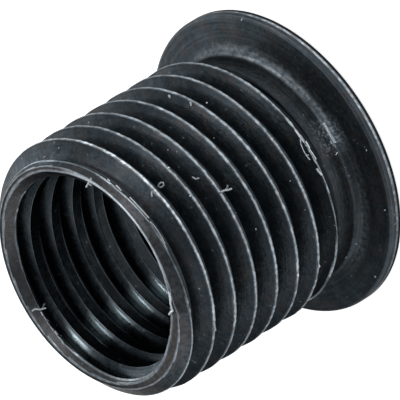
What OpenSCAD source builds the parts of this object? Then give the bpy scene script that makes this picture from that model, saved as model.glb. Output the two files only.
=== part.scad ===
// Flanged threaded insert: one turned steel sleeve with a thread outside and a thread inside.
// Both threads are right-hand and share one pitch. Each inner ridge stands behind an outer
// groove, so that the thin wall keeps an even thickness as it zigzags between them.
// The sleeve stands on its flange with the tip up. Lengths are in millimetres.

/* [Threads] */
// Pitch that both threads share
thread_pitch = 1.5; // [1.2:0.05:1.6]
// Angle about the axis at which the threads are indexed, in degrees
thread_turn = 16; // [0:4:356]
// Diameter at the roots of the inner thread
inner_thread_d = 12; // [10:0.5:16]
// Radial height of the inner ridges
inner_depth = 0.65; // [0.4:0.05:0.7]
// Axial width of the flat at the inner roots
inner_root_flat = 0.16; // [0.1:0.02:0.24]
// Radial wall from the inner roots to the outer crests
thread_wall = 1; // [0.9:0.05:1.5]

/* [Sleeve] */
// Length from the outer face of the flange to the tip
sleeve_length = 14; // [10:0.5:20]
// Radial wall left outside the inner roots at the face of the tip
tip_wall = 0.08; // [0.06:0.02:0.3]
// Radial width of the face of the tip
tip_face = 0.28; // [0.2:0.02:0.4]
// Radial depth of the countersink at the flanged mouth, past the inner roots
mouth_sink = 0.3; // [0.1:0.05:0.5]

/* [Neck] */
// Radial wall of the neck outside the inner roots
neck_wall = 0.25; // [0.2:0.05:0.5]
// Length of the neck from the seat of the flange to the thread shoulder
neck_length = 1.85; // [1.5:0.05:3]
// Angle of the thread shoulder from the axis, in degrees
shoulder_angle = 60; // [30:5:70]
// Radius of the fillet at the foot of the neck
foot_radius = 0.45; // [0.2:0.05:0.6]

/* [Flange] */
// Radial reach of the flange past the outer crests
flange_reach = 1.25; // [0.8:0.05:3]
// Thickness of the flange at its rim
rim_thickness = 0.75; // [0.6:0.05:1.5]
// Slope of the seat under the flange from square, in degrees
seat_angle = 9; // [0:1:12]
// Radius where the seat rolls into the rim
rim_radius = 0.2; // [0.1:0.02:0.26]
// Chamfer on the back edge of the rim
back_chamfer = 0.2; // [0.1:0.02:0.26]

/* [Quality] */
// Facets in one turn of a thread
turn_steps = 48; // [24:4:60]

/* [Hidden] */
// A 60 degree thread form, with its usual crest flat and outer depth
FLANK_ANGLE = 30;
OUTER_CREST_FLAT = thread_pitch / 8;
OUTER_DEPTH = 0.6134 * thread_pitch;
// A groove cutter reaches this far past the surface that it cuts
CUTTER_REACH = 0.1;
// Facets of the plain turned shape, and of each rounded corner of its outline
TURN_FACETS = 144;
CORNER_STEPS = 6;
// The outer groove starts this part of a turn below the shoulder and climbs out over these turns
RUN_OUT_DROP = 1 / 3;
RUN_OUT_TURNS = 0.35;

inner_root_r = inner_thread_d / 2;
inner_crest_r = inner_root_r - inner_depth;
outer_crest_r = inner_root_r + thread_wall;
outer_root_r = outer_crest_r - OUTER_DEPTH;
outer_root_flat = thread_pitch - OUTER_CREST_FLAT - 2 * OUTER_DEPTH * tan(FLANK_ANGLE);
tip_r = inner_root_r + tip_wall;
tip_mouth_r = tip_r - tip_face;
mouth_r = inner_root_r + mouth_sink;
neck_r = inner_root_r + neck_wall;
rim_r = outer_crest_r + flange_reach;
shoulder_foot_z = seat_z(neck_r) + neck_length;
shoulder_top_z = shoulder_foot_z + (outer_crest_r - neck_r) / tan(shoulder_angle);
// Heights of the two groove centres at the angle zero, from the indexing angle
outer_rise = thread_pitch * thread_turn / 360;
inner_rise = outer_rise + thread_pitch / 2;
// Each groove starts or ends a full turn past the end that it runs out of
past_end = thread_pitch;

// Height of the sloping seat at a radius
function seat_z(r) = rim_thickness + (rim_r - r) * tan(seat_angle);

// Points along an arc from one angle to another
function arc(centre, r, from, to) = [
    for (i = [0 : CORNER_STEPS])
        let (a = from + (to - from) * i / CORNER_STEPS)
        centre + r * [cos(a), sin(a)]
];

// Half of a groove's axial width at a height above its root
function half_groove(root_flat, height) = root_flat / 2 + height * tan(FLANK_ANGLE);

// Outline of the turned blank, as radius and height
function blank_outline() =
    let (
        rim_centre_r = rim_r - rim_radius,
        rim_centre_z = seat_z(rim_centre_r) - rim_radius / cos(seat_angle),
        foot_centre_r = neck_r + foot_radius,
        foot_centre_z = seat_z(foot_centre_r) + foot_radius / cos(seat_angle)
    )
    concat(
        [
            [inner_crest_r, mouth_r - inner_crest_r],
            [mouth_r, 0],
            [rim_r - back_chamfer, 0],
            [rim_r, back_chamfer]
        ],
        arc([rim_centre_r, rim_centre_z], rim_radius, 0, 90 - seat_angle),
        arc([foot_centre_r, foot_centre_z], foot_radius, 270 - seat_angle, 180),
        [
            [neck_r, shoulder_foot_z],
            [outer_crest_r, shoulder_top_z],
            [outer_crest_r, sleeve_length - (outer_crest_r - tip_r)],
            [tip_r, sleeve_length],
            [tip_mouth_r, sleeve_length],
            [inner_crest_r, sleeve_length - (tip_mouth_r - inner_crest_r)]
        ]
    );

// Right-hand helical bar of a four-cornered section, given as radius and height.
// It runs between two heights of its centre line and can lift outwards at its lower end.
module helical_bar(section, rise, low_z, high_z, lift = 0, lift_turns = 1) {
    turns = (high_z - low_z) / thread_pitch;
    steps = ceil(turns * turn_steps);
    corners = len(section);
    points = [
        for (i = [0 : steps])
            let (
                turn = turns * i / steps,
                z = low_z + thread_pitch * turn,
                a = 360 * (z - rise) / thread_pitch,
                out = lift * max(0, 1 - turn / lift_turns)
            )
            for (p = section) [(p[0] + out) * cos(a), (p[0] + out) * sin(a), p[1] + z]
    ];
    last = steps * corners;
    sides = [
        for (i = [0 : steps - 1], j = [0 : corners - 1])
            let (
                p = i * corners + j,
                q = i * corners + (j + 1) % corners
            )
            each [[p, q, q + corners], [p, q + corners, p + corners]]
    ];
    low_end = [for (j = [corners - 1 : -1 : 0]) j];
    high_end = [for (j = [0 : corners - 1]) last + j];
    polyhedron(points, concat(sides, [low_end, high_end]), convexity = 20);
}

// Section of the outer groove, from its root out past the crests
function outer_section() =
    let (
        root = outer_root_flat / 2,
        top = half_groove(outer_root_flat, OUTER_DEPTH + CUTTER_REACH)
    )
    [
        [outer_root_r, -root],
        [outer_crest_r + CUTTER_REACH, -top],
        [outer_crest_r + CUTTER_REACH, top],
        [outer_root_r, root]
    ];

// Section of the inner groove, from its root in past the ridges
function inner_section() =
    let (
        root = inner_root_flat / 2,
        top = half_groove(inner_root_flat, inner_depth + CUTTER_REACH)
    )
    [
        [inner_crest_r - CUTTER_REACH, -top],
        [inner_root_r, -root],
        [inner_root_r, root],
        [inner_crest_r - CUTTER_REACH, top]
    ];

module insert_sleeve() {
    color([0.17, 0.19, 0.2])
    difference() {
        rotate_extrude($fn = TURN_FACETS)
            polygon(blank_outline());
        helical_bar(
            outer_section(),
            outer_rise,
            shoulder_foot_z - RUN_OUT_DROP * thread_pitch,
            sleeve_length + past_end,
            neck_r - outer_root_r + CUTTER_REACH,
            RUN_OUT_TURNS
        );
        helical_bar(
            inner_section(),
            inner_rise,
            -past_end,
            sleeve_length + past_end
        );
    }
}

insert_sleeve();
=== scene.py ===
# %% [markdown]
# # A flanged threaded insert in black-oxide steel
# The real object is one turned piece: a thin sleeve with a thread outside and a thread inside,
# a plain neck and a wide thin flange. It screws into a worn hole and gives it a new thread.
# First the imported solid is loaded. It fixes the place and the size of everything that follows.

# %% Load the frame
import bpy
import math
from mathutils import Matrix, Vector


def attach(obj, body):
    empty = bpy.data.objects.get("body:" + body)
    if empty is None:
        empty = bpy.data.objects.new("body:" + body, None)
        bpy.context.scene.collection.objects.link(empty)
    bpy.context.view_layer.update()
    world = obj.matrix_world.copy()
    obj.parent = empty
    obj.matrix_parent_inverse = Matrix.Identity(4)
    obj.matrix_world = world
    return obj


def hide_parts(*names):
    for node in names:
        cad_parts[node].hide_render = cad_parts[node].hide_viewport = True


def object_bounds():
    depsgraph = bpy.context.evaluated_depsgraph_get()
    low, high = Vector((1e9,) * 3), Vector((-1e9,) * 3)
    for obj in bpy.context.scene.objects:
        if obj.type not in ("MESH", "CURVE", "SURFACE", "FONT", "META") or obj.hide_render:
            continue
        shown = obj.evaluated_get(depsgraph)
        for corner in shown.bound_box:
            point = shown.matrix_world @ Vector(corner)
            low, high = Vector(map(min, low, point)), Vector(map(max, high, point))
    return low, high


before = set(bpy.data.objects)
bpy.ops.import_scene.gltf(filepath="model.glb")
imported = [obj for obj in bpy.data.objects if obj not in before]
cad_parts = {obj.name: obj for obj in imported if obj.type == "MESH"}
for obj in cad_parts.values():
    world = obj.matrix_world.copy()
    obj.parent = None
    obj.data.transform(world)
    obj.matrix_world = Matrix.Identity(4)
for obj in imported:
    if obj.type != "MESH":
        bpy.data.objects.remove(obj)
cad_low, cad_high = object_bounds()
print("CAD box in mm:", [round(1000 * x, 2) for x in (*cad_low, *cad_high)])

# %% [markdown]
# ## Sizes
# Lengths are in metres, as everywhere in Blender, and MM turns a millimetre into metres.
# The flange and the length come from the frame. The thread sizes are those of the two
# standard threads, which share one pitch: each inner ridge stands behind an outer groove.

# %% Sizes of the sleeve
MM = 0.001
length = cad_high.z - cad_low.z
rim_r = (cad_high.x - cad_low.x) / 2
pitch = 1.5 * MM
# Angle about the axis at which both threads are indexed, in degrees
thread_turn = 16
outer_rise = pitch * thread_turn / 360
inner_rise = outer_rise + pitch / 2
# A 60 degree thread form, with its usual crest flat and outer depth
crest_flat = pitch / 8
outer_depth = 0.6134 * pitch
flank_slope = 1 / math.tan(math.radians(30))
outer_crest_r = 7.0 * MM
outer_root_r = outer_crest_r - outer_depth
outer_root_flat = pitch - crest_flat - 2 * outer_depth / flank_slope
inner_root_flat = 0.16 * MM
inner_root_r = 6.0 * MM
inner_crest_r = 5.35 * MM
tip_r = 6.08 * MM
tip_mouth_r = 5.8 * MM
mouth_r = 6.3 * MM
neck_r = 6.25 * MM
neck_length = 1.85 * MM
rim_thickness = 0.75 * MM
seat_angle = math.radians(9)
shoulder_angle = math.radians(60)


def seat_height(radius):
    """Height of the sloping seat of the flange at a radius."""
    return rim_thickness + (rim_r - radius) * math.tan(seat_angle)


shoulder_foot = seat_height(neck_r) + neck_length
# The outer groove starts a third of a pitch below the shoulder, and the sheet of the threaded
# wall starts on the plain neck, another third lower
groove_start = shoulder_foot - pitch / 3
neck_top = groove_start - pitch / 3
print("length and rim radius in mm:", round(length / MM, 3), round(rim_r / MM, 3))

# %% [markdown]
# ## The camera
# The photograph looks down on the tip from about 36 degrees above it, with a long lens and
# the camera rolled. The place, the direction and the lens come from a fit to the crests of
# the outer thread, the tip, the neck and the flange.

# %% Camera
# Focal length and width of the sensor in millimetres, which together set the field of view
LENS, SENSOR = 687, 36
CAMERA_PLACE = Vector((0, -308.627, 229.371)) * MM
LOOKS_ALONG = (0.00092, 0.80965, -0.58692)
PICTURE_UP = (0.85084, -0.30901, -0.42494)
camera_data = bpy.data.cameras.new("camera")
camera_data.sensor_width = SENSOR
camera_data.lens = LENS
camera_data.clip_start, camera_data.clip_end = 0.01, 10
camera = bpy.data.objects.new("camera", camera_data)
forward = Vector(LOOKS_ALONG).normalized()
up = Vector(PICTURE_UP)
right = forward.cross(up).normalized()
up = right.cross(forward)
facing = Matrix((right, up, -forward)).transposed().to_4x4()
camera.matrix_world = Matrix.Translation(CAMERA_PLACE) @ facing
bpy.context.scene.collection.objects.link(camera)
bpy.context.scene.camera = camera
bpy.context.scene.view_settings.view_transform = "Standard"
print("camera at, in mm:", [round(x / MM, 1) for x in camera.location])

# %% [markdown]
# ## Formulas as nodes
# A thread follows a rule, so its shape is a formula, and Geometry Nodes can hold it.
# Building a formula node by node is hard to read. This small class lets a node's socket
# be added, multiplied and compared like a number, and makes the Math nodes behind it.
# The materials use it too, because a shader tree has the same Math node.

# %% Formula helper


def plug(tree, socket, value):
    """Connect a field to an input socket, or set the socket to a plain value."""
    if isinstance(value, Field):
        tree.links.new(value.socket, socket)
    else:
        socket.default_value = value


class Field:
    """A socket of a node tree that can stand in a formula like a number."""

    def __init__(self, tree, socket):
        self.tree = tree
        self.socket = socket

    def math(self, operation, *others):
        made = self.tree.nodes.new("ShaderNodeMath")
        made.operation = operation
        for socket, value in zip(made.inputs, (self, *others)):
            plug(self.tree, socket, value)
        return Field(self.tree, made.outputs[0])

    def __add__(self, other):
        return self.math("ADD", other)

    def __sub__(self, other):
        return self.math("SUBTRACT", other)

    def __mul__(self, other):
        return self.math("MULTIPLY", other)

    def __truediv__(self, other):
        return self.math("DIVIDE", other)

    def at_least(self, other):
        return self.math("MAXIMUM", other)

    def at_most(self, other):
        return self.math("MINIMUM", other)


def node(tree, kind, inputs=(), **settings):
    """A new node with its settings, and its inputs set or connected by name or number."""
    made = tree.nodes.new(kind)
    for name, value in settings.items():
        setattr(made, name, value)
    for key, value in dict(inputs).items():
        plug(tree, made.inputs[key], value)
    return made


def out(made, key=0):
    """An output of a node as a field."""
    return Field(made.id_data, made.outputs[key])


def new_group(kind, name, inputs, outputs):
    """A node group with named sockets. Returns the tree, its inputs as fields and its end."""
    tree = bpy.data.node_groups.new(name, kind)
    for label, socket_type, value in inputs:
        socket = tree.interface.new_socket(label, in_out="INPUT", socket_type=socket_type)
        if value is not None:
            socket.default_value = value
    for label, socket_type in outputs:
        tree.interface.new_socket(label, in_out="OUTPUT", socket_type=socket_type)
    start = tree.nodes.new("NodeGroupInput")
    end = tree.nodes.new("NodeGroupOutput")
    fields = {label: out(start, label) for label, _, _ in inputs}
    return tree, fields, end


def ramp(value, low, high):
    """0 at low, 1 at high and a straight line between them. Low may lie above high."""
    return ((value - low) / (high - low)).at_least(0.0).at_most(1.0)


# %% [markdown]
# ## One formula for both threads
# The inner thread is the outer one turned inside out, so one group gives the radius of both
# walls at any angle and height: a groove with sloping flanks, held at the crest. Where the
# wall meets the tip, the shoulder or the countersink it takes the smaller of two shapes, as
# a cut on a lathe does. Side is 1 outside and -1 in the bore.
# A Screw modifier could sweep a profile into the same helix, but it would end in a stump,
# where the formula lets the groove climb out of the neck and break through the tip.

# %% Group for the radius of a threaded wall
# The cutter of the groove reaches this far past the surface that it cuts
CUTTER_REACH = 0.1 * MM
OUTER_SIZES = {
    "Side": 1.0,
    "Rise": outer_rise,
    "Root radius": outer_root_r,
    "Crest radius": outer_crest_r,
    "Root flat": outer_root_flat,
    "Top radius": tip_r,
    "Foot radius": neck_r,
    "Foot height": shoulder_foot,
    "Foot slope": math.tan(shoulder_angle),
    "Groove start": groove_start,
    "Groove lift": neck_r - outer_root_r + CUTTER_REACH,
    "Uneven crest": 0.02 * MM,
    "Ragged tip": 0.0,
}
# The inner groove starts far below the flange, so it runs through the whole bore
INNER_SIZES = {
    "Side": -1.0,
    "Rise": inner_rise,
    "Root radius": inner_root_r,
    "Crest radius": inner_crest_r,
    "Root flat": inner_root_flat,
    "Top radius": tip_mouth_r,
    "Foot radius": mouth_r,
    "Foot height": 0.0,
    "Foot slope": 1.0,
    "Groove start": -3 * pitch,
    "Groove lift": 0.0,
    "Uneven crest": 0.006 * MM,
    "Ragged tip": 0.09 * MM,
}
CORNER_ROUND = 0.03 * MM
# The outer groove climbs out of the neck over these turns
LIFT_TURNS = 0.35
# Taken as a radius where there is no groove, because it lies past every other shape
NO_GROOVE = 10 * MM
# Noise that wears the crests unevenly: its scale and detail, where wear starts, and its gain
CREST_SCALE, CREST_DETAIL, CREST_LEVEL, CREST_GAIN = 12.0, 3.0, 0.4, 4.0
# Noise that makes the first inner ridge ragged, and how far below the tip it starts and is full
RAGGED_SCALE, RAGGED_DETAIL = 22.0, 1.0
RAGGED_START, RAGGED_FULL = 1.0 * MM, 0.6 * MM
# Over a quarter of the turn the face of the tip is wider. Each of its edges moves by this much
LIP_WIDER = 0.2 * MM
LIP_START, LIP_FULL, LIP_FALLS, LIP_END = 0.66, 0.645, 0.595, 0.42


def thread_radius_group():
    """A Geometry Nodes group: the radius of a threaded wall, from the turn and the height."""
    inputs = [("Around", "NodeSocketFloat", 0.0), ("Height", "NodeSocketFloat", 0.0)]
    inputs += [(label, "NodeSocketFloat", value) for label, value in OUTER_SIZES.items()]
    outputs = [("Radius", "NodeSocketFloat")]
    tree, size, end = new_group("GeometryNodeTree", "thread_radius", inputs, outputs)
    around, height, side = size["Around"], size["Height"], size["Side"]
    angle = around * math.tau
    ring = node(tree, "ShaderNodeCombineXYZ", {
        "X": angle.math("COSINE"), "Y": angle.math("SINE"), "Z": height / outer_crest_r,
    })
    uneven = node(tree, "ShaderNodeTexNoise", {
        "Vector": out(ring), "Scale": CREST_SCALE, "Detail": CREST_DETAIL,
    })
    worn_off = (out(uneven) - CREST_LEVEL).at_least(0.0) * size["Uneven crest"] * CREST_GAIN
    crest = side * size["Crest radius"] - worn_off
    count = ((height - size["Rise"]) / pitch - around).math("ROUND")
    centre = (count + around) * pitch + size["Rise"]
    past_start = (centre - size["Groove start"]) / pitch
    lift = (past_start / LIFT_TURNS * -1.0 + 1.0).at_least(0.0) * size["Groove lift"]
    no_groove = past_start.math("LESS_THAN", 0.0) * NO_GROOVE
    away = (height - centre).math("ABSOLUTE") - size["Root flat"] / 2
    deep = away.math("SMOOTH_MAX", 0.0, CORNER_ROUND) * flank_slope
    fine = node(tree, "ShaderNodeTexNoise", {
        "Vector": out(ring), "Scale": RAGGED_SCALE, "Detail": RAGGED_DETAIL,
    })
    near_tip = ramp(height, length - RAGGED_START, length - RAGGED_FULL)
    ragged = (out(fine) - 0.5) * size["Ragged tip"] * near_tip
    groove = side * size["Root radius"] + deep + lift + no_groove + ragged
    thread = groove.math("SMOOTH_MIN", crest, CORNER_ROUND)
    turn = around.math("FRACT")
    lip = ramp(turn, LIP_START, LIP_FULL) * ramp(turn, LIP_END, LIP_FALLS)
    top = side * size["Top radius"] + length - height + lip * LIP_WIDER
    above_foot = (height - size["Foot height"]).at_least(0.0)
    foot = side * size["Foot radius"] + above_foot * size["Foot slope"]
    plug(tree, end.inputs["Radius"], side * thread.at_most(top).at_most(foot))
    return tree


thread_radius = thread_radius_group()
print("nodes in the thread's formula:", len(thread_radius.nodes))

# %% [markdown]
# ## The flange
# The flange is plain turning. Its outline is a short list of corners, with arcs at the rim
# and at the foot of the neck, kept as loose vertices that the tree reads one by one.
# Spin would turn the outline as well. Here the tree does it, with the columns that the
# threaded walls have, so that the flange and the walls merge into one closed skin.

# %% Outline of the flange
RIM_RADIUS = 0.2 * MM
FOOT_RADIUS = 0.45 * MM
BACK_CHAMFER = 0.2 * MM
# The bevel on the back is lower than in the solid, so that the camera doesn't see it shine
BACK_CHAMFER_TOP = 0.1 * MM
# Rows of faces on each stretch of the outline
ARC_ROWS, NECK_ROWS, SEAT_ROWS, EDGE_ROWS, BACK_ROWS = 8, 3, 5, 2, 5


def arc(centre, radius, start, stop, steps=ARC_ROWS):
    """Points along an arc, as radius and height."""
    angles = [math.radians(start + (stop - start) * i / steps) for i in range(steps + 1)]
    return [(centre[0] + radius * math.cos(a), centre[1] + radius * math.sin(a)) for a in angles]


def divided(start, stop, steps):
    """Points along a straight stretch, without its last one."""
    return [tuple(a + (b - a) * i / steps for a, b in zip(start, stop)) for i in range(steps)]


def flange_outline():
    """The outline from the neck down, round the rim and in to the countersink."""
    tilt = math.degrees(seat_angle)
    foot_x = neck_r + FOOT_RADIUS
    rim_x = rim_r - RIM_RADIUS
    foot_centre = (foot_x, seat_height(foot_x) + FOOT_RADIUS / math.cos(seat_angle))
    rim_centre = (rim_x, seat_height(rim_x) - RIM_RADIUS / math.cos(seat_angle))
    foot = arc(foot_centre, FOOT_RADIUS, 180, 270 - tilt)
    rim = arc(rim_centre, RIM_RADIUS, 90 - tilt, 0)
    back_r = rim_r - BACK_CHAMFER
    return (
        divided((neck_r, neck_top), foot[0], NECK_ROWS)
        + foot[:-1]
        + divided(foot[-1], rim[0], SEAT_ROWS)
        + rim[:-1]
        + divided(rim[-1], (rim_r, BACK_CHAMFER_TOP), EDGE_ROWS)
        + divided((rim_r, BACK_CHAMFER_TOP), (back_r, 0), EDGE_ROWS)
        + divided((back_r, 0), (mouth_r, 0), BACK_ROWS)
        + [(mouth_r, 0)]
    )


outline_mesh = bpy.data.meshes.new("flange_outline")
outline_mesh.from_pydata([(radius, 0, height) for radius, height in flange_outline()], [], [])
outline = bpy.data.objects.new("flange_outline", outline_mesh)
print("points in the flange's outline:", len(outline_mesh.vertices))

# %% [markdown]
# ## The sleeve
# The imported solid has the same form, in flat facets. The skin is drawn anew because worn
# edges need finer faces and attributes of their own.
# Each wall is a flat grid that the formula bends into place. Its rows run round with the
# thread, one pitch up in a turn, and a curve crowds them at the corners of the thread, so
# that the corners stay crisp with few faces. At the ends the rows are held at the end's
# height. The face of the tip joins the two walls, and the flange closes the ring. All sheets
# have the same columns, so their edges merge into one skin.
# The tree also stores how sharply each point bends outwards, and how near a point of the
# tip's face is to the mouth. The finish uses both to wear the black layer off the edges,
# where handling wears a real one first.

# %% Tree of the sleeve
COLUMNS = 160
MERGE = 0.0004 * MM
# How far on each side of a corner its rows lie, as a share of the pitch
CORNER_SPREAD = 0.012
# Rows in half a pitch: on the root, its corner, the flank, the crest's corner and the crest
OUTER_ROWS = (2, 3, 9, 3, 3)
INNER_ROWS = (1, 2, 4, 2, 4)
# How far the wear at the edge of the mouth reaches over the face of the tip
MOUTH_WORN = 0.13 * MM
# A grid has one more row of points than of faces, and the half rounds it to a whole number
POINT_ROW = 1.5


def grid_sheet(tree, rows, tall):
    """A flat grid to be bent: its mesh, the share of a turn, and the way up it."""
    grid = node(tree, "GeometryNodeMeshGrid", {
        "Size X": 1.0, "Size Y": tall, "Vertices X": COLUMNS + 1, "Vertices Y": rows,
    })
    position = out(node(tree, "GeometryNodeInputPosition"), "Position")
    place = node(tree, "ShaderNodeSeparateXYZ", {"Vector": position})
    raised = out(place, "Y") + (tall * 0.5)
    return out(grid, "Mesh"), out(place, "X") + 0.5, raised


def bent(tree, mesh, around, radius, height, flipped):
    """The grid with its points at a radius and a height, facing out of the metal."""
    angle = around * math.tau
    place = node(tree, "ShaderNodeCombineXYZ", {
        "X": angle.math("COSINE") * radius, "Y": angle.math("SINE") * radius, "Z": height,
    })
    sheet = out(node(tree, "GeometryNodeSetPosition", {"Geometry": mesh, "Position": out(place)}))
    if flipped:
        sheet = out(node(tree, "GeometryNodeFlipFaces", {"Mesh": sheet}))
    return sheet


def radius_at(tree, around, height, sizes):
    """The radius of a threaded wall, from the group."""
    made = node(tree, "GeometryNodeGroup", node_tree=thread_radius)
    for label, value in {"Around": around, "Height": height, **sizes}.items():
        plug(tree, made.inputs[label], value)
    return out(made, "Radius")


def crowded_rows(tree, share, plan, sizes):
    """The share of a pitch at which a row lies, with rows crowded at the four corners."""
    depth = abs(sizes["Crest radius"] - sizes["Root radius"])
    root_corner = sizes["Root flat"] / 2 / pitch
    crest_corner = root_corner + depth / flank_slope / pitch
    places = (
        root_corner - CORNER_SPREAD,
        root_corner + CORNER_SPREAD,
        crest_corner - CORNER_SPREAD,
        crest_corner + CORNER_SPREAD,
    )
    shares = [sum(plan[:i + 1]) / (2 * sum(plan)) for i in range(4)]
    half = list(zip(shares, places))
    curve = node(tree, "ShaderNodeFloatCurve", {"Value": share})
    points = curve.mapping.curves[0].points
    for x, y in half + [(1 - x, 1 - y) for x, y in half]:
        points.new(x, y)
    for point in points:
        point.handle_type = "VECTOR"
    curve.mapping.update()
    return out(curve)


def threaded_sheet(tree, fineness, plan, low, sizes):
    """A threaded wall from a height up to the tip, with rows as the plan says."""
    first_turn = math.floor((low - sizes["Rise"]) / pitch) - 1
    turns = math.ceil((length - sizes["Rise"]) / pitch) - first_turn
    rows = fineness * float(2 * sum(plan) * turns)
    mesh, around, raised = grid_sheet(tree, rows + POINT_ROW, float(turns))
    turn = raised.math("FLOOR")
    crowded = turn + crowded_rows(tree, raised - turn, plan, sizes) + around + float(first_turn)
    height = (crowded * pitch + sizes["Rise"]).at_least(low).at_most(length)
    radius = radius_at(tree, around, height, sizes)
    return bent(tree, mesh, around, radius, height, sizes["Side"] < 0)


def tip_sheet(tree, rows):
    """The flat face of the tip, from the outer wall's edge in to the bore's."""
    mesh, around, share = grid_sheet(tree, rows, 1.0)
    height = share * 0.0 + length
    outer = radius_at(tree, around, height, OUTER_SIZES)
    inner = radius_at(tree, around, height, INNER_SIZES)
    from_mouth = (outer - inner) * (share * -1.0 + 1.0)
    near_mouth = ramp(from_mouth, MOUTH_WORN, 0.0)
    kept = node(tree, "GeometryNodeStoreNamedAttribute", {
        "Geometry": mesh, "Name": "mouth", "Value": near_mouth,
    })
    return bent(tree, out(kept), around, outer + (inner - outer) * share, height, False)


def flange_sheet(tree, flange, count):
    """A sheet turned from the flange's outline."""
    mesh, around, share = grid_sheet(tree, count, 1.0)
    corners = out(node(tree, "GeometryNodeObjectInfo", {"Object": flange}), "Geometry")
    row = (share * (count - 1.0)).math("ROUND")
    picked = node(tree, "GeometryNodeSampleIndex", {
        "Geometry": corners, "Index": row,
    }, data_type="FLOAT_VECTOR")
    plug(tree, picked.inputs["Value"], out(node(tree, "GeometryNodeInputPosition")))
    corner = node(tree, "ShaderNodeSeparateXYZ", {"Vector": out(picked)})
    return bent(tree, mesh, around, out(corner, "X"), out(corner, "Z"), True)


def finish_off(tree, last, material, end_socket):
    """The end of every tree: instances made real, the material set, and the result put out."""
    real = node(tree, "GeometryNodeRealizeInstances", {"Geometry": out(last)})
    finished = node(tree, "GeometryNodeSetMaterial", {"Geometry": out(real), "Material": material})
    plug(tree, end_socket, out(finished))


def sleeve_tree():
    """The tree of the sleeve: two threaded walls, the face of the tip and the flange."""
    inputs = [
        ("Fineness", "NodeSocketInt", 1),
        ("Tip rows", "NodeSocketInt", 7),
        ("Flange outline", "NodeSocketObject", None),
        ("Sharpest smooth edge", "NodeSocketFloat", math.radians(40)),
        ("Least worn bend", "NodeSocketFloat", math.radians(5)),
        ("Finish", "NodeSocketMaterial", None),
    ]
    outputs = [("Sleeve", "NodeSocketGeometry")]
    tree, size, end = new_group("GeometryNodeTree", "sleeve", inputs, outputs)
    sheets = [
        threaded_sheet(tree, size["Fineness"], OUTER_ROWS, neck_top, OUTER_SIZES),
        threaded_sheet(tree, size["Fineness"], INNER_ROWS, 0.0, INNER_SIZES),
        tip_sheet(tree, size["Tip rows"]),
        flange_sheet(tree, size["Flange outline"], len(outline_mesh.vertices)),
    ]
    joined = node(tree, "GeometryNodeJoinGeometry")
    for sheet in sheets:
        tree.links.new(sheet.socket, joined.inputs["Geometry"])
    merged = node(tree, "GeometryNodeMergeByDistance", {"Geometry": out(joined), "Distance": MERGE})
    bend = node(tree, "GeometryNodeInputMeshEdgeAngle")
    sharp = out(bend, "Unsigned Angle").math("GREATER_THAN", size["Sharpest smooth edge"])
    smooth = node(tree, "GeometryNodeSetShadeSmooth", {
        "Geometry": out(merged), "Shade Smooth": True,
    })
    keen = node(tree, "GeometryNodeSetShadeSmooth", {
        "Geometry": out(smooth), "Shade Smooth": False, "Selection": sharp,
    }, domain="EDGE")
    outward = (out(bend, "Signed Angle") - size["Least worn bend"]).at_least(0.0)
    edge = node(tree, "GeometryNodeFieldOnDomain", {0: outward}, domain="EDGE")
    kept = node(tree, "GeometryNodeStoreNamedAttribute", {
        "Geometry": out(keen), "Name": "edge", "Value": out(edge),
    })
    finish_off(tree, kept, size["Finish"], end.inputs["Sleeve"])
    return tree


def baked(name, tree, values):
    """A plain mesh object made by a tree, with its inputs set by the sockets' identifiers."""
    holder = bpy.data.objects.new(name + "_tree", bpy.data.meshes.new(name + "_tree"))
    bpy.context.scene.collection.objects.link(holder)
    modifier = holder.modifiers.new("tree", "NODES")
    modifier.node_group = tree
    for item in tree.interface.items_tree:
        if item.in_out == "INPUT" and item.name in values:
            modifier[item.identifier] = values[item.name]
    evaluated = holder.evaluated_get(bpy.context.evaluated_depsgraph_get())
    mesh = bpy.data.meshes.new_from_object(evaluated)
    bpy.data.objects.remove(holder)
    mesh.name = name
    made = bpy.data.objects.new(name, mesh)
    bpy.context.scene.collection.objects.link(made)
    return made


steel = bpy.data.materials.new("black_oxide_steel")
sleeve_inputs = {"Flange outline": outline, "Finish": steel}
sleeve = baked("insert_sleeve_skin", sleeve_tree(), sleeve_inputs)
sleeve.data.calc_loop_triangles()
print("triangles in the sleeve:", len(sleeve.data.loop_triangles))
bpy.data.objects.remove(outline)

# %% Check the skin
import bmesh

skin = bmesh.new()
skin.from_mesh(sleeve.data)
print("open edges:", sum(not e.is_manifold for e in skin.edges))
print("volume in cubic mm:", round(skin.calc_volume(signed=True) / MM**3, 2))
print("edge attribute on:", sleeve.data.attributes["edge"].domain)
skin.free()

# %% [markdown]
# ## The finish
# Black oxide is a thin dark layer on steel, a little blue, with the turning marks showing
# through. On the crests and the edges it is worn to bright steel. Pictures of worn metal
# could be wrapped round the sleeve. Formulas are used here, because they follow the thread,
# stay sharp at any distance and need no file.
# The first group gives each point its place on the sleeve, so that masks can follow the form:
# radius, height and the distance from the middle of the outer groove in millimetres, and the
# share of a turn from the +X side, from -0.5 to 0.5. The second makes patches from a noise.
# The third makes the fine lines that a cutting tool leaves round the axis.

# %% Groups of the finish


def place_group():
    """A shader group: where a point is on the sleeve, in millimetres."""
    inputs = [("Object", "NodeSocketVector", None), ("Rise", "NodeSocketFloat", outer_rise / MM)]
    labels = ("Radius", "Height", "Turn", "From groove")
    outputs = [(label, "NodeSocketFloat") for label in labels]
    tree, given, end = new_group("ShaderNodeTree", "place_on_sleeve", inputs, outputs)
    part = node(tree, "ShaderNodeSeparateXYZ", {"Vector": given["Object"]})
    x, y, z = out(part, "X") / MM, out(part, "Y") / MM, out(part, "Z") / MM
    radius = (x * x + y * y).math("SQRT")
    turn = y.math("ARCTAN2", x) / math.tau
    phase = (z - given["Rise"]) / (pitch / MM) - turn
    from_groove = (phase - phase.math("ROUND")).math("ABSOLUTE") * (pitch / MM)
    for label, value in zip(labels, (radius, z, turn, from_groove)):
        plug(tree, end.inputs[label], value)
    return tree


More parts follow.
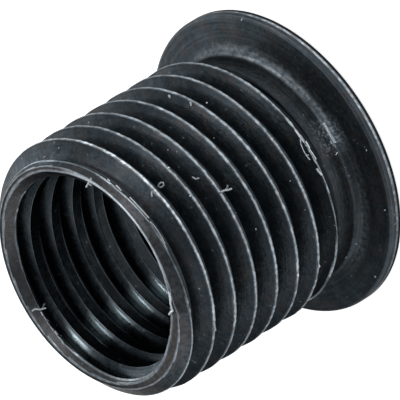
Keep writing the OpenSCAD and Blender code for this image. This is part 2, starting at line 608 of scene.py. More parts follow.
def noise_group():
    """A shader group: patches as a mask from 0 to 1 between two levels of a noise."""
    inputs = [
        ("Object", "NodeSocketVector", None),
        ("Per millimetre", "NodeSocketFloat", 1.0),
        ("Detail", "NodeSocketFloat", 3.0),
        ("Low", "NodeSocketFloat", 0.4),
        ("High", "NodeSocketFloat", 0.6),
    ]
    tree, given, end = new_group("ShaderNodeTree", "patches", inputs, [("Mask", "NodeSocketFloat")])
    noise = node(tree, "ShaderNodeTexNoise", {
        "Vector": given["Object"], "Scale": given["Per millimetre"] / MM, "Detail": given["Detail"],
    })
    mask = (out(noise) - given["Low"]) / (given["High"] - given["Low"])
    plug(tree, end.inputs["Mask"], mask.at_least(0.0).at_most(1.0))
    return tree


def marks_group():
    """A shader group: fine lines that run round the axis, as a cutting tool leaves them."""
    inputs = [
        ("Object", "NodeSocketVector", None),
        ("Across", "NodeSocketFloat", 0.0),
        ("Lines in a millimetre", "NodeSocketFloat", 8.0),
        ("Around", "NodeSocketFloat", 0.25),
    ]
    outputs = [("Mask", "NodeSocketFloat")]
    tree, given, end = new_group("ShaderNodeTree", "turning_marks", inputs, outputs)
    part = node(tree, "ShaderNodeSeparateXYZ", {"Vector": given["Object"]})
    place = node(tree, "ShaderNodeCombineXYZ", {
        "X": out(part, "X") / MM * given["Around"],
        "Y": out(part, "Y") / MM * given["Around"],
        "Z": given["Across"] * given["Lines in a millimetre"],
    })
    noise = node(tree, "ShaderNodeTexNoise", {"Vector": out(place), "Scale": 1.0, "Detail": 2.0})
    plug(tree, end.inputs["Mask"], out(noise))
    return tree


place_on_sleeve, patches, turning_marks = place_group(), noise_group(), marks_group()
print("shader groups:", place_on_sleeve.name, patches.name, turning_marks.name)

# %% Colours of the finish
OXIDE = (0.034, 0.043, 0.050, 1)
# Near black: painted shade at the foot of the thread and on the back bevel, and the darker far side
# of the tip
NEAR_BLACK = (0.008, 0.010, 0.012, 1)
OXIDE_PALE = (0.088, 0.103, 0.115, 1)
OXIDE_BROWN = (0.072, 0.060, 0.056, 1)
TIP_DARK = (0.078, 0.072, 0.072, 1)
TIP_PALE = (0.19, 0.178, 0.176, 1)
# Grey of the scuff marks at the foot of the neck, which also carry a painted highlight
SCUFF_AND_HIGHLIGHT_GREY = (0.22, 0.25, 0.27, 1)
# Bare steel, and also the colour of the painted highlight streak up the neck
BARE_STEEL_AND_NECK_HIGHLIGHT = (0.46, 0.52, 0.57, 1)
BRIGHT = (0.78, 0.83, 0.88, 1)
# A painted highlight: the pale steel-blue of the bands in the bore
BORE_HIGHLIGHT_PAINT = (0.50, 0.62, 0.66, 1)


def grouped(tree, group, values, label):
    """An output of a shader group with its inputs set or connected."""
    made = node(tree, "ShaderNodeGroup", node_tree=group)
    for key, value in values.items():
        plug(tree, made.inputs[key], value)
    return out(made, label)


def blend(tree, mask, first, second):
    """Two colours mixed by a mask."""
    made = tree.nodes.new("ShaderNodeMix")
    made.data_type = "RGBA"
    plug(tree, made.inputs["Factor"], mask)
    plug(tree, made.inputs["A"], first)
    plug(tree, made.inputs["B"], second)
    return Field(tree, made.outputs["Result"])


def outside(mask, share=1.0):
    """1 where a mask is 0, and less by the share where it is 1."""
    return mask * -share + 1.0


def levels(mask, low, high):
    """The first value where a mask is 0 and the second where it is 1."""
    return mask * (high - low) + low


print("pale oxide is brighter than deep oxide, times:", round(OXIDE_PALE[1] / NEAR_BLACK[1], 1))

# %% [markdown]
# ## Zones and patches
# The layer isn't even. Handling rubs what stands out, and some zones carry painted light:
# painted shade at the foot of the thread and on the lower rim with its back bevel, a painted
# highlight streak up the neck, and pale scuff marks with painted highlight in them at the foot
# of the neck. A zone is a mask that is 1 in one part of the sleeve and fades at its borders,
# made of ramps that are multiplied. A mask painted by hand would need a picture. All zones
# stand in one table, so that each can be moved by its numbers, and a second table holds the
# patches of noise.

# %% Zones
# A ramp says what it measures, where it is 0 and where it is 1, in millimetres or in turns.
# One with four entries measures the distance from the second of them. The two zones past
# the last crest are one stretch, which crosses the end of the turn at 0.5.
tip_z, crest_top = length / MM, outer_crest_r / MM
ZONES = {
    "bore": [("Radius", 6.06, 6.03), ("Height", tip_z - 0.4, tip_z - 0.6)],
    "tip_sink": [
        ("Radius less height", -8.45, -8.42), ("Radius less height", -8.12, -8.16),
        ("Height", tip_z - 0.48, tip_z - 0.44),
    ],
    "tip_face": [("Height", tip_z - 0.04, tip_z - 0.02)],
    "tip_cone": [("Height", tip_z - 1.0, tip_z - 0.7), ("Radius", 6.06, 6.12)],
    "cone_front": [("Radius", 6.9, 6.4), ("Turn", -0.46, -0.42), ("Turn", -0.08, -0.12)],
    "far_side": [("Turn", 0.25, 0.26, 0.16)],
    "rubbed_side": [("Turn", -0.33, -0.27), ("Turn", -0.08, -0.13)],
    "thread": [("Height", 2.3, 2.8)],
    # Painted shade at the foot of the thread, next to the last crest
    "shoulder": [("Height", 2.45, 2.55), ("Height", 3.75, 3.5), ("Radius", 6.05, 6.07)],
    # Pale patches on the foot of the neck and the seat: scuff marks mixed with painted highlight
    "neck_foot": [
        ("Height", 1.55, 1.25), ("Radius", 6.95, 6.6), ("Radius", 6.2, 6.3),
        ("Turn", -0.29, -0.24), ("Turn", 0.02, -0.10),
    ],
    "seat_foot": [
        ("Height", 1.25, 1.1), ("Radius", 7.05, 6.75), ("Radius", 6.45, 6.55),
        ("Turn", -0.48, -0.43), ("Turn", -0.22, -0.27),
    ],
    # A painted highlight streak up the neck
    "neck_highlight_streak": [
        ("Turn", -0.256, 0.030, 0.010), ("Height", 2.3, 1.5),
        ("Radius", 7.0, 6.7), ("Radius", 6.2, 6.22),
    ],
    "seat": [("Height", 1.2, 1.05)],
    # Painted shade on the lower rim and its back bevel
    "back_bevel": [("Height", 0.29, 0.25), ("Radius", 7.9, 8.0)],
    "rim_line": [("Height", 0.35, 0.08, 0.045), ("Radius", 8.15, 8.2)],
    "run_out": [("Height", 2.95, 2.9), ("Height", 2.15, 2.25), ("Radius", 6.4, 6.3)],
    "crest_flats": [("Radius", crest_top - 0.06, crest_top - 0.02), ("Height", 3.0, 3.3)],
    "crest_edges": [("Radius", 6.9, 6.94), ("Height", 3.4, 3.6), ("Height", 13.1, 12.9)],
    "first_crest": [
        ("Height", 11.7, 12.3), ("Height", 13.3, 13.1),
        ("Turn", -0.30, -0.22), ("Turn", 0.14, 0.04),
    ],
    "last_edge": [("Height", 3.66, 3.56), ("Height", 2.6, 2.8), ("Radius", 6.7, 6.9)],
    "past_last_low": [("Turn", -0.29, -0.33)],
    "past_last_high": [("Turn", 0.30, 0.36)],
    # Painted highlight bands in the bore
    "bore_highlight_band": [("Turn", 0.322, 0.030, 0.006), ("Radius", 5.36, 5.44), ("Radius", 6.04, 5.94)],
    "deep_bore": [("Height", tip_z - 0.9, tip_z - 2.1)],
}
# Patches in a millimetre, detail of the noise, and the levels where a patch starts and is full
PATCHES = {
    "grain": (5.0, 4.0, 0.25, 0.75),
    "clouds": (1.3, 5.0, 0.42, 0.66),
    "rust": (1.7, 5.0, 0.48, 0.68),
    "mottle": (4.0, 4.0, 0.38, 0.62),
    "fine": (7.0, 2.0, 0.48, 0.62),
    "breaks": (1.1, 4.0, 0.36, 0.62),
    "beads": (3.6, 3.0, 0.42, 0.66),
    "knots": (2.6, 3.0, 0.58, 0.66),
    "chips": (5.0, 1.0, 0.735, 0.785),
}


def zone_mask(measures, ramps):
    """The mask of a zone: its ramps multiplied."""
    masks = []
    for kind, *limits in ramps:
        value = measures[kind]
        if len(limits) == 3:
            value = (value - limits[0]).math("ABSOLUTE")
        masks.append(ramp(value, *limits[-2:]))
    product = masks[0]
    for mask in masks[1:]:
        product = product * mask
    return product


def masks_of(tree, place):
    """Every measure, zone and patch of the sleeve as a field, by its name."""
    spot = node(tree, "ShaderNodeGroup", node_tree=place_on_sleeve)
    plug(tree, spot.inputs["Object"], place)
    measures = {label: out(spot, label) for label in ("Radius", "Height", "Turn", "From groove")}
    measures["Radius less height"] = measures["Radius"] - measures["Height"]
    at = dict(measures)
    for name, ramps in ZONES.items():
        at[name] = zone_mask(measures, ramps)
    for name, numbers in PATCHES.items():
        values = dict(zip(("Per millimetre", "Detail", "Low", "High"), numbers))
        at[name] = grouped(tree, patches, {"Object": place, **values}, "Mask")
    return at


print("zones:", len(ZONES), "patches:", len(PATCHES))

# %% [markdown]
# ## The black layer
# The foot of the thread and the lower rim with its back bevel are near black, which is painted
# shade, and the far side of the tip is darker. Elsewhere the oxide is paler in a fine grain, in
# clouds and along the turning marks, and a little brown in places. At the foot of the neck it
# has pale scuff marks with painted highlight in them, and up the neck runs a painted highlight
# streak. Each of these is one blend over the colour before it, in the order in which a painter
# would lay glazes.

# %% The black layer
# What the grain, the clouds and the mottle of the tip's cone add to the paleness
PALE_GRAIN, PALE_CLOUDS, PALE_CONE = 0.5, 0.35, 0.6
# What the turning marks add and what is taken off again, on plain turning and on the thread
PALE_MARKS, PALE_LESS = (1.3, 0.6), (0.75, 0.45)
# How far each of these covers the colour under it. A pair holds for no patch and full patch
# The second and third shares give painted shade at the foot of the thread and on the back bevel
RUST, THREAD_FOOT_PAINTED_SHADE, BACK_BEVEL_PAINTED_SHADE = 0.5, 0.75, 0.85
# The foot's pale scuff marks are partly painted highlight, and the neck's streak is all painted
# highlight
FOOT_SCUFFS_AND_HIGHLIGHT, NECK_HIGHLIGHT_STREAK = (0.2, 0.8), (0.1, 0.8)
TIP_SINK, TIP_FACE, TIP_CONE, FACE_MOTTLE = 0.6, 0.85, 0.5, 0.4
FAR_CONE, FAR_DARK, RUBBED_FACE = 0.6, (0.7, 0.4), (0.6, 0.9)
# How much less rust, bare edge and relief the bore has than the outside
CLEAN_BORE = 0.8


def black_layer(tree, at, marks):
    """The colour of the layer on the whole sleeve, with its rust, its scuff marks mixed with painted
    highlight, a painted highlight streak up the neck, and painted shade at the foot of the thread and
    on the back bevel.
    """
    pale = at["grain"] * PALE_GRAIN + at["clouds"] * PALE_CLOUDS
    pale = pale + marks * levels(at["thread"], *PALE_MARKS) - levels(at["thread"], *PALE_LESS)
    pale = pale + at["tip_cone"] * at["mottle"] * PALE_CONE
    colour = blend(tree, pale.at_least(0.0).at_most(1.0), OXIDE, OXIDE_PALE)
    colour = blend(tree, at["rust"] * RUST * outside(at["bore"], CLEAN_BORE), colour, OXIDE_BROWN)
    # Pale patches at the foot of the neck: scuff marks mixed with painted highlight
    foot_scuff_and_highlight = at["neck_foot"].at_least(at["seat_foot"]) * levels(at["mottle"], *FOOT_SCUFFS_AND_HIGHLIGHT)
    colour = blend(tree, foot_scuff_and_highlight, colour, SCUFF_AND_HIGHLIGHT_GREY)
    # Painted highlight: a narrow pale streak up the neck in bare-steel colour
    colour = blend(tree, at["neck_highlight_streak"] * levels(at["fine"], *NECK_HIGHLIGHT_STREAK), colour, BARE_STEEL_AND_NECK_HIGHLIGHT)
    # Painted shade: the foot of the thread and the lower rim with its back bevel go near black
    corners = (at["shoulder"] * THREAD_FOOT_PAINTED_SHADE).at_least(at["back_bevel"] * BACK_BEVEL_PAINTED_SHADE)
    return blend(tree, corners, colour, NEAR_BLACK)


def tip_layer(tree, at, colour):
    """The layer on the tip: greyer to the front, deep black far off, and rubbed on one side."""
    face = blend(tree, at["mottle"] * FACE_MOTTLE, TIP_DARK, TIP_PALE)
    grey = (at["tip_sink"] * TIP_SINK).at_least(at["tip_face"] * TIP_FACE)
    grey = grey.at_least(at["tip_cone"] * at["cone_front"] * TIP_CONE)
    colour = blend(tree, grey, colour, face)
    far = at["far_side"] * at["tip_face"].at_least(at["tip_cone"] * FAR_CONE)
    colour = blend(tree, far * levels(at["clouds"], *FAR_DARK), colour, NEAR_BLACK)
    rubbed = at["tip_face"] * at["rubbed_side"] * levels(at["mottle"], *RUBBED_FACE)
    return blend(tree, rubbed, colour, BRIGHT)


print("share of the rust that is left in the bore:", round(1 - CLEAN_BORE, 2))

# %% [markdown]
# ## Bare steel
# Handling and the thread cutter lay the steel bare along the crests and the edges, in beads
# and breaks and not as an even line. A Bevel node could find the edges while the picture is
# rendered, with rays of its own. The edge attribute of the skin finds them once instead. The
# distance from the groove finds the flats of the crests, and patches break both up.

# %% Bare steel on the crests and edges
# Bends in radians at which the wear of an edge starts and is full, and those of a keener one
WORN_BEND, KEEN_BEND = (0.03, 0.16), (0.01, 0.08)
# Distances from the groove where the flat of a crest starts and is full, less where beads are
CREST_LINE, BEAD_WIDTH = (0.695, 0.725), 0.04
# How much less the edges of the crests are worn than other edges, because their flats are
CREST_EDGES_LESS = 0.6
# Wear of the rim's line, where it is rubbed and for no bead and a full bead
RIM_RUBBED, RIM_BEADS = 0.4, (0.4, 0.8)
# Wear for no patch and full patch, and more of it on the first crest
BREAKS, BEADS, FIRST_CREST = (0.46, 0.76), (0.72, 1.07), (1.0, 1.5)
# Brightness of the knots, the rubbed lip, and the first crest and the rim's line by their beads
KNOT_SHINE, LIP_SHINE, CREST_SHINE, RIM_SHINE = 0.7, 0.6, (0.4, 0.9), (0.25, 0.95)


def worn_edges(at, edge):
    """A mask of the steel that is bare along the crests, the edges and the line of the rim."""
    crests = ramp(at["From groove"] + at["beads"] * BEAD_WIDTH, *CREST_LINE) * at["crest_flats"]
    past_last = at["past_last_low"].at_least(at["past_last_high"])
    kept_dark = at["back_bevel"].at_least(at["run_out"])
    edges = ramp(edge, *WORN_BEND) * outside(at["bore"], CLEAN_BORE)
    edges = edges * outside(at["crest_edges"], CREST_EDGES_LESS)
    edges = edges * outside(at["last_edge"] * outside(past_last)) * outside(kept_dark)
    line = at["rubbed_side"] * RIM_RUBBED + levels(at["beads"], *RIM_BEADS)
    edges = edges.at_least(at["rim_line"] * line)
    edges = edges.at_least(ramp(edge, *KEEN_BEND) * at["last_edge"] * past_last)
    broken = levels(at["breaks"], *BREAKS) * levels(at["beads"], *BEADS)
    return crests.at_least(edges) * broken * levels(at["first_crest"], *FIRST_CREST)


def shine(at, lip):
    """A mask of the places where the bare steel is bright."""
    bright = (at["knots"] * KNOT_SHINE).at_least(lip * at["rubbed_side"] * LIP_SHINE)
    bright = bright.at_least(at["first_crest"] * levels(at["beads"], *CREST_SHINE))
    on_rim = at["rim_line"] * at["rubbed_side"] * levels(at["beads"], *RIM_SHINE)
    return bright.at_least(on_rim)


print("half of a bare crest line in mm:", round(pitch / MM / 2 - CREST_LINE[0], 3))

# %% [markdown]
# ## Painted highlight bands in the bore
# Bright bands run down the bore across its ridges. Traced back, most of the light for such a
# reflection would have to pass through the sleeve, so they are a painted highlight here: a
# pale stripe in fine lines. That the chips of a tap rubbed it bright is a guess.

# %% Painted highlight bands in the bore
BAND_LINES = {"Lines in a millimetre": 7.0, "Around": 0.1}
BAND_LINE_LEVELS = (0.40, 0.55)
# Strength of the band near the tip and further down
BAND_STRENGTH = (0.4, 1.0)


def painted_bore_highlight(tree, at, place):
    """A mask of the painted highlight bands in the bore, which grow stronger further down."""
    values = {"Object": place, "Across": at["Radius"], **BAND_LINES}
    lines = ramp(grouped(tree, turning_marks, values, "Mask"), *BAND_LINE_LEVELS)
    return at["bore_highlight_band"] * at["bore"] * lines * levels(at["deep_bore"], *BAND_STRENGTH)


band_turns = ZONES["bore_highlight_band"][0][2] * 2
print("width of the band in mm:", round(band_turns * math.tau * inner_root_r / MM, 2))

# %% [markdown]
# ## The material of the sleeve
# The layer is so thin that the whole sleeve is one metal with one shader, and only its
# colour, roughness and relief change. Oxide reflects less than bare metal does at a grazing
# angle, which the Specular Tint stands for. Without it the silhouettes would turn white.

# %% Material of the sleeve
GRAZING_TINT = (0.45, 0.44, 0.43, 1)
MARKS_IN_MM = 9.0
# Depth of the relief, and the shares of the turning marks and the grain in it
RELIEF_DEPTH, RELIEF_MARKS, RELIEF_GRAIN = 0.012 * MM, 0.5, 0.6
# Wear of the tip's mouth: where it starts and is full, where it is rubbed, and by its mottle
LIP_NEAR, LIP_RUBBED, LIP_MOTTLE = (0.05, 0.3), 0.35, (0.3, 0.6)
# How bare the chips in the layer are
CHIPS = 0.6
# Roughness of the plain layer, and what each mask adds to it or takes away
ROUGHNESS, ROUGH_GRAIN, ROUGH_SEAT, SMOOTH_WEAR, SMOOTH_BORE = 0.32, 0.12, 0.12, 0.06, 0.08


def finish_steel(material):
    """The black oxide with its wear, in one material for the whole piece."""
    material.use_nodes = True
    tree = material.node_tree
    shader = tree.nodes["Principled BSDF"]
    place = out(node(tree, "ShaderNodeTexCoord"), "Object")
    edge = out(node(tree, "ShaderNodeAttribute", attribute_name="edge"), "Fac")
    mouth = out(node(tree, "ShaderNodeAttribute", attribute_name="mouth"), "Fac")
    at = masks_of(tree, place)
    across = at["Radius"] + at["From groove"] * at["thread"] + at["Height"] * outside(at["thread"])
    values = {"Object": place, "Across": across, "Lines in a millimetre": MARKS_IN_MM}
    marks = grouped(tree, turning_marks, values, "Mask")
    oxide = tip_layer(tree, at, black_layer(tree, at, marks))
    lip = at["rubbed_side"] * LIP_RUBBED + levels(at["mottle"], *LIP_MOTTLE)
    lip = ramp(mouth, *LIP_NEAR) * lip
    chips = at["chips"] * at["clouds"] * CHIPS
    worn = worn_edges(at, edge).at_least(lip).at_least(chips).at_most(1.0)
    steel_colour = blend(tree, shine(at, lip), BARE_STEEL_AND_NECK_HIGHLIGHT, BRIGHT)
    skin_colour = blend(tree, worn, oxide, steel_colour)
    # Painted highlight: pale bands in the bore stand in for a reflection
    skin_colour = blend(tree, painted_bore_highlight(tree, at, place), skin_colour, BORE_HIGHLIGHT_PAINT)
    plug(tree, shader.inputs["Base Color"], skin_colour)
    shader.inputs["Metallic"].default_value = 1.0
    shader.inputs["Specular Tint"].default_value = GRAZING_TINT
    rough = at["grain"] * ROUGH_GRAIN - worn * SMOOTH_WEAR - at["bore"] * SMOOTH_BORE
    plug(tree, shader.inputs["Roughness"], rough + at["seat"] * ROUGH_SEAT + ROUGHNESS)
    relief = marks * RELIEF_MARKS + at["grain"] * RELIEF_GRAIN * outside(at["bore"], CLEAN_BORE)
    bump = node(tree, "ShaderNodeBump", {"Strength": 1.0, "Distance": RELIEF_DEPTH, "Height": relief})
    tree.links.new(bump.outputs[0], shader.inputs["Normal"])


finish_steel(steel)
print("nodes in the finish:", len(steel.node_tree.nodes))

# %% [markdown]
# ## Burrs, specks and lint
# A real insert carries small things: burrs and scratches on the crests, bright specks where
# the black layer is chipped, and lint from handling. Their places were read from the
# photograph, in its own pixels. A ray from the camera through such a pixel meets the skin
# at that place, so one helper turns every list into points that lie on the metal.
# They could be painted in the finish. As thin strands and grains they stand off the metal,
# catch the light and cast shadows, as the real ones do.

# %% A helper that lays points on the skin
from mathutils.bvhtree import BVHTree

PHOTO_SIDE = 400
# A larger step in depth between two points means that the skin has fallen away
LARGEST_STEP = 0.3 * MM
skin_tree = BVHTree.FromPolygons(
    [v.co for v in sleeve.data.vertices], [p.vertices for p in sleeve.data.polygons]
)


def on_skin(px, py, lift=0.0, before=None):
    """The point of the skin under a pixel of the photograph, lifted off it.

    Where the skin falls away after the point before, as over the edge of the mouth, the new
    point keeps the distance of that point from the camera, and the strand stands free.
    """
    eye = camera.matrix_world.translation
    scale = camera_data.sensor_width / camera_data.lens / PHOTO_SIDE
    side, rise = (px - PHOTO_SIDE / 2) * scale, (PHOTO_SIDE / 2 - py) * scale
    way = (forward + right * side + up * rise).normalized()
    hit, normal, _, distance = skin_tree.ray_cast(eye, way)
    if before is not None:
        depth = (before - eye).length
        if hit is None or abs(distance - depth) > LARGEST_STEP:
            return eye + way * depth
    return hit + normal * lift * MM


middle = on_skin(PHOTO_SIDE / 2, PHOTO_SIDE / 2)
print("skin under the centre of the photograph, in mm:", [round(c / MM, 2) for c in middle])

# %% Strokes
# Each stroke is a row of pixels: lint, burrs that stand up, and scratches that lie flat.
# A speck is one pixel.
LINT = [
    [(220.5, 192.5), (224, 190.5), (228, 190), (232, 188.5)],
    [(225.5, 190), (227.5, 187.5), (228, 185)],
    [(158.5, 187), (159, 184.5), (161, 182.5), (163.5, 182.5), (164, 185), (162, 187), (160, 187.5)],
    [(152, 191.5), (152, 194), (152.5, 196.5)],
    [(192.5, 177), (196, 179), (199.5, 178)],
    [(32, 311), (35, 309), (40, 309.5), (46, 308)],
    [(42, 309), (43.5, 306), (45, 303.5)],
    [(91.5, 178.5), (89, 182.5), (86, 187.5)],
    [(88, 182), (90, 183.5), (92, 185)],
    [(190.5, 102), (191.5, 104), (191.5, 106)],
    [(169, 95), (170.5, 98)],
    [(213, 322), (214, 326), (215, 330)],
]
BURRS = [
    [(295, 130.5), (297, 133.5), (299.5, 137)],
    [(305.2, 141.5), (307.3, 145), (309.3, 148.5)],
    [(316.5, 168.5), (319, 172), (321.5, 175)],
    [(169.5, 292), (171, 298.5), (171, 303), (172, 307), (173.5, 310.5)],
    [(173.5, 310.5), (171, 312), (168.8, 315)],
    [(322.8, 122.8), (326, 128.8), (329.5, 135.5), (334.2, 143.2)],
    [(324, 122.8), (327.6, 129), (331, 135.3), (335.6, 142.6)],
    [(129.5, 198), (134, 202.5), (139, 208), (144, 213.5), (148.5, 218.5)],
    [(116, 186), (119, 189), (122, 192.5)],
    [(318, 264.5), (319.5, 267.5)],
    [(297, 273), (297.5, 276)],
]
SCRATCHES = [
    [(299, 136), (301.5, 139.5), (304, 142.5)],
    [(308.5, 148), (311.5, 152), (314, 156), (316, 159.5)],
    [(300, 139.5), (301, 145), (303.5, 151), (306.5, 156), (310, 160)],
    [(306, 154.5), (307.5, 156.5)],
    [(330.5, 141.5), (331.5, 143.5)],
    [(337.5, 152.5), (336, 155)],
    [(41, 312), (43.5, 316)],
    [(47, 319.5), (49, 322)],
    [(55, 331), (58, 335)],
    [(61.5, 340.5), (64, 344)],
    [(150, 221.5), (154, 226), (158, 231.5)],
    [(158, 231.5), (162, 238), (165, 244)],
    [(107.5, 179), (110, 181.5)],
]
SPECKS = [
    (366.3, 149.8), (366.9, 150.6), (366.2, 150.9), (375, 275.8), (375.5, 276.5),
    (366, 150), (375, 276), (170, 96), (213, 43), (242, 20), (59, 148), (45, 157),
    (290, 181), (305, 210), (385, 210), (168, 150), (177, 152), (214, 138), (207, 103),
    (57, 325), (61, 336), (168.5, 168), (301, 301), (190, 196), (256, 229), (44, 318),
    (48, 323), (53, 330), (57, 335), (63, 343), (169, 292), (298.5, 135), (306, 146), (308, 155),
]


def stroke_mesh(name, strokes, lift):
    """A mesh of edges only, one chain of points on the skin for each stroke."""
    mesh = bpy.data.meshes.new(name)
    points, edges = [], []
    for stroke in strokes:
        first = len(points)
        before = None
        for px, py in stroke:
            before = on_skin(px, py, lift, before)
            points.append(before)
        edges += [(i, i + 1) for i in range(first, len(points) - 1)]
    mesh.from_pydata(points, edges, [])
    return bpy.data.objects.new(name, mesh)


def stroke_tree():
    """A tree that turns chains of edges into thin round strands with closed ends."""
    inputs = [
        ("Strokes", "NodeSocketObject", None),
        ("Thickness", "NodeSocketFloat", 0.03 * MM),
        ("Sides", "NodeSocketInt", 6),
        ("Finish", "NodeSocketMaterial", None),
    ]
    outputs = [("Strands", "NodeSocketGeometry")]
    tree, size, end = new_group("GeometryNodeTree", "strands", inputs, outputs)
    chains = out(node(tree, "GeometryNodeObjectInfo", {"Object": size["Strokes"]}), "Geometry")
    curves = node(tree, "GeometryNodeMeshToCurve", {"Mesh": chains})
    profile = node(tree, "GeometryNodeCurvePrimitiveCircle", {
        "Resolution": size["Sides"], "Radius": size["Thickness"] / 2,
    })
    tubes = node(tree, "GeometryNodeCurveToMesh", {
        "Curve": out(curves), "Profile Curve": out(profile), "Fill Caps": True,
    })
    finish_off(tree, tubes, size["Finish"], end.inputs["Strands"])
    return tree


def speck_tree():
    """A tree that sets a small flat grain, of a random size and turn, on every point."""
    inputs = [
        ("Places", "NodeSocketObject", None),
        ("Smallest", "NodeSocketFloat", 0.025 * MM),
        ("Largest", "NodeSocketFloat", 0.07 * MM),
        ("Width", "NodeSocketFloat", 0.7),
        ("Flatness", "NodeSocketFloat", 0.5),
        ("Seed", "NodeSocketInt", 7),
        ("Finish", "NodeSocketMaterial", None),
    ]
    outputs = [("Specks", "NodeSocketGeometry")]
    tree, size, end = new_group("GeometryNodeTree", "specks", inputs, outputs)
    places = out(node(tree, "GeometryNodeObjectInfo", {"Object": size["Places"]}), "Geometry")
    grain = node(tree, "GeometryNodeMeshIcoSphere", {"Radius": 1.0, "Subdivisions": 1})
    # The sockets of a random number follow those of a random vector: 2 and 3 are its limits
    draw = node(tree, "FunctionNodeRandomValue", {
        2: size["Smallest"], 3: size["Largest"], "Seed": size["Seed"],
    }, data_type="FLOAT")
    turned = node(tree, "FunctionNodeRandomValue", {
        1: (math.tau, math.tau, math.tau), "Seed": size["Seed"],
    }, data_type="FLOAT_VECTOR")
    reach = out(draw, 1)
    flat = node(tree, "ShaderNodeCombineXYZ", {
        "X": reach, "Y": reach * size["Width"], "Z": reach * size["Flatness"],
    })
    placed = node(tree, "GeometryNodeInstanceOnPoints", {
        "Points": places, "Instance": out(grain, "Mesh"), "Rotation": out(turned), "Scale": out(flat),
    })
    finish_off(tree, placed, size["Finish"], end.inputs["Specks"])
    return tree


def plain_material(name, colour, metallic, roughness):
    """A material of one colour."""
    material = bpy.data.materials.new(name)
    material.use_nodes = True
    shader = material.node_tree.nodes["Principled BSDF"]
    shader.inputs["Base Color"].default_value = colour
    shader.inputs["Metallic"].default_value = metallic
    shader.inputs["Roughness"].default_value = roughness
    return material


def longest_edge(piece):
    """The longest edge of a piece in millimetres. A long one would span the bore."""
    spots = [v.co for v in piece.data.vertices]
    ends = [edge.vertices for edge in piece.data.edges]
    return round(max((spots[a] - spots[b]).length for a, b in ends) / MM, 2)


LINT_COLOUR = (0.62, 0.65, 0.68, 1)
BARE_COLOUR = (0.78, 0.82, 0.86, 1)
LINT_THICKNESS = 0.09 * MM
BURR_THICKNESS = 0.11 * MM
SCRATCH_THICKNESS = 0.075 * MM
# How far the middle of each lies off the skin, in millimetres. A scratch lies a little in it
LINT_LIFT, BURR_LIFT, SCRATCH_LIFT, SPECK_LIFT = 0.03, 0.02, -0.005, 0.01
lint_finish = plain_material("pale_lint", LINT_COLOUR, metallic=0.0, roughness=0.8)
bare_finish = plain_material("bare_steel", BARE_COLOUR, metallic=1.0, roughness=0.5)
strands = stroke_tree()


def strands_of(name, strokes, thickness, finish):
    """The baked strands of a mesh of strokes."""
    return baked(name, strands, {"Strokes": strokes, "Thickness": thickness, "Finish": finish})


lint_lines = stroke_mesh("lint_lines", LINT, LINT_LIFT)
burr_lines = stroke_mesh("burr_lines", BURRS, BURR_LIFT)
scratch_lines = stroke_mesh("scratch_lines", SCRATCHES, SCRATCH_LIFT)
speck_points = stroke_mesh("speck_points", [[spot] for spot in SPECKS], SPECK_LIFT)
lint = strands_of("lint_strands", lint_lines, LINT_THICKNESS, lint_finish)
burrs = strands_of("burr_strands", burr_lines, BURR_THICKNESS, bare_finish)
scratches = strands_of("scratch_strands", scratch_lines, SCRATCH_THICKNESS, bare_finish)
specks = baked("bright_specks", speck_tree(), {"Places": speck_points, "Finish": bare_finish})
for helper in (lint_lines, burr_lines, scratch_lines, speck_points):
    bpy.data.objects.remove(helper)
for piece in (lint, burrs, scratches, specks):
    print(piece.name, "faces:", len(piece.data.polygons), "longest edge in mm:", longest_edge(piece))

# %% [markdown]
# ## Floor, light and world
# The photograph has a pure white ground. A white world alone would light the metal from all
# sides and wash its black out. So the world is dim, the floor shows white only to the camera
# and to the mirror rays of the metal, and soft lamps stand where the photograph's highlights
# ask for them.

# %% Floor
FLOOR_HALF = 0.6
FLOOR_GREY = (0.7, 0.7, 0.7, 1)
# With the light of the lamps on top, this glow shows as full white
FLOOR_GLOW = 0.84
floor_mesh = bpy.data.meshes.new("floor")
signs = [(-1, -1), (1, -1), (1, 1), (-1, 1)]
corners = [(x * FLOOR_HALF, y * FLOOR_HALF, 0) for x, y in signs]
floor_mesh.from_pydata(corners, [], [(0, 1, 2, 3)])
floor = bpy.data.objects.new("floor", floor_mesh)
bpy.context.scene.collection.objects.link(floor)


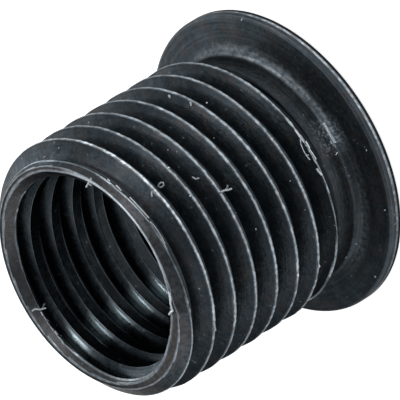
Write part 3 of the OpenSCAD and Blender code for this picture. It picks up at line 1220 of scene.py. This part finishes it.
def white_floor():
    """A pale floor whose own glow is seen only by camera, mirror and glass rays."""
    material = bpy.data.materials.new("white_floor")
    material.use_nodes = True
    tree = material.node_tree
    shader = tree.nodes["Principled BSDF"]
    shader.inputs["Base Color"].default_value = FLOOR_GREY
    shader.inputs["Roughness"].default_value = 1.0
    shader.inputs["Specular IOR Level"].default_value = 0.0
    shader.inputs["Emission Color"].default_value = (1, 1, 1, 1)
    ray = node(tree, "ShaderNodeLightPath")
    seen = out(ray, "Is Camera Ray").at_least(out(ray, "Is Glossy Ray"))
    seen = seen.at_least(out(ray, "Is Transmission Ray"))
    plug(tree, shader.inputs["Emission Strength"], seen * FLOOR_GLOW)
    return material


floor_mesh.materials.append(white_floor())
print("side of the floor in m:", 2 * FLOOR_HALF)

# %% World and lamps
SKY = (0.9, 1.0, 1.08, 1)
SKY_STRENGTH = 0.27
LAMP_DISTANCE = 0.3
# Azimuth and elevation in degrees, side in metres and power in watts
LAMPS = {
    "left_low": (70, 8, 0.12, 0.21),
    "front_left_low": (38, 8, 0.12, 0.10),
    "front_low": (0, 8, 0.12, 0.12),
    "right_low": (330, 8, 0.12, 0.15),
    "left_high": (60, 33, 0.12, 0.13),
    "back_left_high": (84, 35, 0.12, 0.03),
    "front_top": (315, 58, 0.12, 0.12),
    "small_top": (8, 65, 0.05, 0.07),
    "back_high": (170, 33, 0.16, 0.065),
    "back_top": (175, 58, 0.16, 0.05),
    "back_low": (150, 8, 0.12, 0.05),
    "back_right_low": (210, 8, 0.12, 0.03),
}
world = bpy.data.worlds.new("studio")
world.use_nodes = True
background = world.node_tree.nodes["Background"]
background.inputs["Color"].default_value = SKY
background.inputs["Strength"].default_value = SKY_STRENGTH
bpy.context.scene.world = world


def softbox(name, azimuth, elevation, size, energy):
    """A square soft lamp that faces the sleeve from a direction given in degrees."""
    data = bpy.data.lights.new(name, "AREA")
    data.size = size
    data.energy = energy
    lamp = bpy.data.objects.new(name, data)
    a, e = math.radians(azimuth), math.radians(elevation)
    way = Vector((math.cos(a) * math.cos(e), math.sin(a) * math.cos(e), math.sin(e)))
    lamp.location = way * LAMP_DISTANCE
    lamp.rotation_euler = way.to_track_quat("Z", "Y").to_euler()
    bpy.context.scene.collection.objects.link(lamp)


for name, numbers in LAMPS.items():
    softbox(name, *numbers)
print("lamps:", len(LAMPS))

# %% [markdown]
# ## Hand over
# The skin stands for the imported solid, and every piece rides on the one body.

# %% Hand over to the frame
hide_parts("insert_sleeve")
for piece in (sleeve, lint, burrs, scratches, specks):
    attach(piece, "root")
